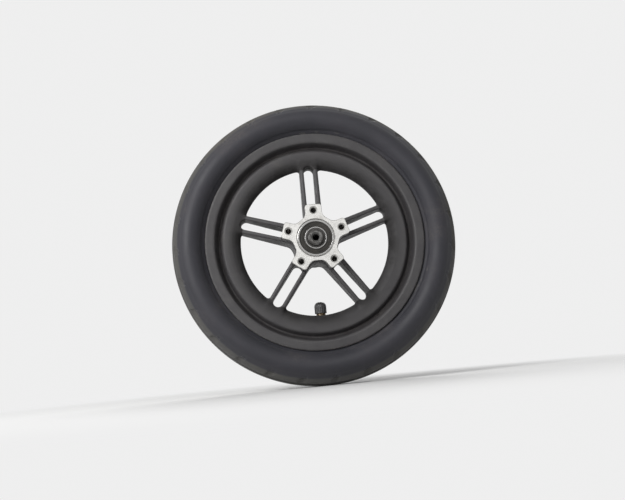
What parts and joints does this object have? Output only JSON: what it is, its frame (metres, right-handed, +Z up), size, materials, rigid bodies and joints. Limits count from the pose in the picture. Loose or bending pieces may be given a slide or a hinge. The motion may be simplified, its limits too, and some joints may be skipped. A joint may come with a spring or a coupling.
{
  "type": "spoked scooter wheel",
  "caption": "Small pneumatic wheel: black tyre on a dark cast rim with slotted twin-rib spokes, a star-shaped brake disc flange and sealed ball bearings on a through axle.",
  "frame": {"origin": "middle of the wheel, on the axle's centre line, half way along the axle", "axes": "+Y along the axle, away from the brake disc side, which faces -Y; +Z up along one spoke, with the valve at the bottom; the wheel spins about +Y"},
  "size_m": [0.22, 0.065, 0.22],
  "materials": {
    "rim_paint": "satin dark grey paint on cast aluminium",
    "machined_alloy": "bare, machined",
    "tyre_rubber": "matte, slightly dusty",
    "tube_rubber": "matte, talced",
    "axle_steel": "turned, lightly oiled",
    "bearing_steel": "ground and polished",
    "cage_steel": "pressed",
    "seal_rubber": "matte",
    "valve_brass": "bright turned",
    "nut_plate": "nickel plated",
    "spring_steel": "drawn wire",
    "cap_plastic": "moulded, fine grain"
  },
  "bodies": {
    "axle": {"axle": "axle_steel", "spacer_sleeve": "machined_alloy", "rear_collar": "machined_alloy", "front_inner_ring": "bearing_steel", "rear_inner_ring": "bearing_steel"},
    "wheel": {"rim": "rim_paint", "tyre": "tyre_rubber", "inner_tube": "tube_rubber", "front_outer_ring": "bearing_steel", "rear_outer_ring": "bearing_steel", "front_outer_seal": "seal_rubber", "front_inner_seal": "seal_rubber", "rear_outer_seal": "seal_rubber", "rear_inner_seal": "seal_rubber", "valve_stem": "valve_brass", "valve_nut": "nut_plate", "valve_core": "valve_brass", "valve_spring": "spring_steel"},
    "front_ball_set": {"front_balls": "bearing_steel", "front_cage": "cage_steel"},
    "rear_ball_set": {"rear_balls": "bearing_steel", "rear_cage": "cage_steel"},
    "valve_plunger": {"valve_pin": "valve_brass", "valve_pin_seal": "seal_rubber"},
    "cap_liner": {"valve_cap_seal": "seal_rubber"},
    "cap": {"valve_cap": "cap_plastic"}
  },
  "joints": [
    {"name": "wheel_spin", "type": "hinge", "parent": "axle", "child": "wheel", "pos_m": [0, 0, 0], "axis": [0, 1, 0], "continuous": true},
    {"name": "front_ball_orbit", "type": "hinge", "parent": "axle", "child": "front_ball_set", "pos_m": [0, -0.0255, 0], "axis": [0, 1, 0], "continuous": true},
    {"name": "rear_ball_orbit", "type": "hinge", "parent": "axle", "child": "rear_ball_set", "pos_m": [0, 0.0195, 0], "axis": [0, 1, 0], "continuous": true},
    {"name": "valve_pin_press", "type": "slide", "parent": "wheel", "child": "valve_plunger", "axis": [0, 0, -1], "range_m": [0, 0.0015], "stiffness_N_per_m": 1500, "springref_m": -0.002, "deforming": ["valve_spring"]},
    {"name": "cap_rise", "type": "slide", "parent": "wheel", "child": "cap_liner", "axis": [0, 0, 1], "range_m": [0, 0.00635]},
    {"name": "cap_turn", "type": "hinge", "parent": "cap_liner", "child": "cap", "pos_m": [0, 0, -0.05], "axis": [0, 0, 1], "range_deg": [0, 2880]}
  ],
  "couplings": [
    {"joint": "front_ball_orbit", "follows": "wheel_spin", "ratio": 0.619},
    {"joint": "rear_ball_orbit", "follows": "wheel_spin", "ratio": 0.619},
    {"joint": "cap_turn", "follows": "cap_rise", "rad_per_m": 7915.8}
  ]
}
